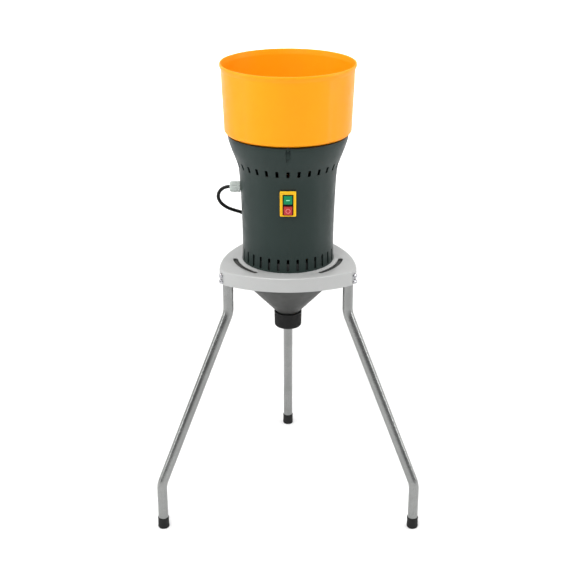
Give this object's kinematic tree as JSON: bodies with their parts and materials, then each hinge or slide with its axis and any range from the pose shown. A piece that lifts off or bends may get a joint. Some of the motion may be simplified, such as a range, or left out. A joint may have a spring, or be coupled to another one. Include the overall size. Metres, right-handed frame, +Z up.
{
  "type": "hammer mill",
  "caption": "Upright electric grain mill: open hopper over a round motor body, swinging-hammer rotor in a sieve cup, discharge funnel and tripod tube stand.",
  "frame": {"origin": "middle of the floor area that the stand covers, on the floor", "axes": "+Z up; -Y towards the front, the side with the switch; +X to the right seen from the front"},
  "size_m": [0.7024, 0.6124, 1.222],
  "materials": {
    "black_plastic": "matte",
    "body_green": "fine texture",
    "button_green": "smooth",
    "button_red": "smooth",
    "copper": "varnished windings",
    "cord_rubber": "matte",
    "fastener": "zinc plated",
    "foot_rubber": "matte",
    "grey_plastic": "satin",
    "hopper_orange": "smooth",
    "motor_alloy": "cast",
    "pale_plastic": "satin",
    "plate": "satin",
    "steel": "bare",
    "tube": "satin",
    "yellow_plastic": "satin"
  },
  "bodies": {
    "mill": {"body_shell": "body_green", "cord_hank": "cord_rubber", "cord_tail": "cord_rubber", "cord_tie": "black_plastic", "discharge_funnel": "grey_plastic", "foot_cap_front_left": "foot_rubber", "foot_cap_front_right": "foot_rubber", "foot_cap_rear": "foot_rubber", "funnel_nut_1": "fastener", "funnel_nut_2": "fastener", "funnel_nut_3": "fastener", "gland_body": "pale_plastic", "gland_nut": "pale_plastic", "grain_chute": "grey_plastic", "head_bolt_1": "fastener", "head_bolt_2": "fastener", "head_bolt_3": "fastener", "hopper": "hopper_orange", "hopper_screw_1": "fastener", "hopper_screw_2": "fastener", "hopper_screw_3": "fastener", "leg_bolt_front_left_1": "fastener", "leg_bolt_front_left_2": "fastener", "leg_bolt_front_right_1": "fastener", "leg_bolt_front_right_2": "fastener", "leg_bolt_rear_1": "fastener", "leg_bolt_rear_2": "fastener", "leg_front_left": "tube", "leg_front_right": "tube", "leg_rear": "tube", "lower_bearing": "steel", "mains_plug": "black_plastic", "mill_head": "body_green", "motor_end_shield": "motor_alloy", "motor_housing": "motor_alloy", "motor_windings": "copper", "power_cord": "cord_rubber", "sieve_cup": "steel", "spout_collar": "black_plastic", "stand_plate": "plate", "start_capacitor": "pale_plastic", "switch_bezel": "yellow_plastic", "switch_body": "black_plastic", "upper_bearing": "steel"},
    "rotor": {"motor_shaft": "steel", "motor_armature": "steel", "cooling_fan": "black_plastic", "rotor_discs": "steel", "rotor_nut": "steel", "hammer_pin_1": "steel", "hammer_pin_2": "steel", "hammer_pin_3": "steel", "hammer_pin_4": "steel"},
    "start_button": {"start_button": "button_green"},
    "stop_button": {"stop_button": "button_red"},
    "feed_gate": {"feed_gate": "steel"},
    "hammer_1": {"hammer_1": "steel"},
    "hammer_2": {"hammer_2": "steel"},
    "hammer_3": {"hammer_3": "steel"},
    "hammer_4": {"hammer_4": "steel"}
  },
  "joints": [
    {"name": "rotor_spin", "type": "hinge", "parent": "mill", "child": "rotor", "pos_m": [0, -0.097, 0.681], "axis": [0, 0, 1], "continuous": true},
    {"name": "hammer_swing_1", "type": "hinge", "parent": "rotor", "child": "hammer_1", "pos_m": [0.052, -0.097, 0.681], "axis": [0, 0, 1], "range_deg": [-80, 80]},
    {"name": "hammer_swing_2", "type": "hinge", "parent": "rotor", "child": "hammer_2", "pos_m": [0, -0.045, 0.681], "axis": [0, 0, 1], "range_deg": [-80, 80]},
    {"name": "hammer_swing_3", "type": "hinge", "parent": "rotor", "child": "hammer_3", "pos_m": [-0.052, -0.097, 0.681], "axis": [0, 0, 1], "range_deg": [-80, 80]},
    {"name": "hammer_swing_4", "type": "hinge", "parent": "rotor", "child": "hammer_4", "pos_m": [0, -0.149, 0.681], "axis": [0, 0, 1], "range_deg": [-80, 80]},
    {"name": "start_press", "type": "slide", "parent": "mill", "child": "start_button", "axis": [0, 1, 0], "range_m": [0, 0.0035], "stiffness_N_per_m": 600, "springref_m": -0.001},
    {"name": "stop_press", "type": "slide", "parent": "mill", "child": "stop_button", "axis": [0, 1, 0], "range_m": [0, 0.0035], "stiffness_N_per_m": 600, "springref_m": -0.001},
    {"name": "gate_slide", "type": "slide", "parent": "mill", "child": "feed_gate", "axis": [0, 1, 0], "range_m": [0, 0.05]}
  ]
}
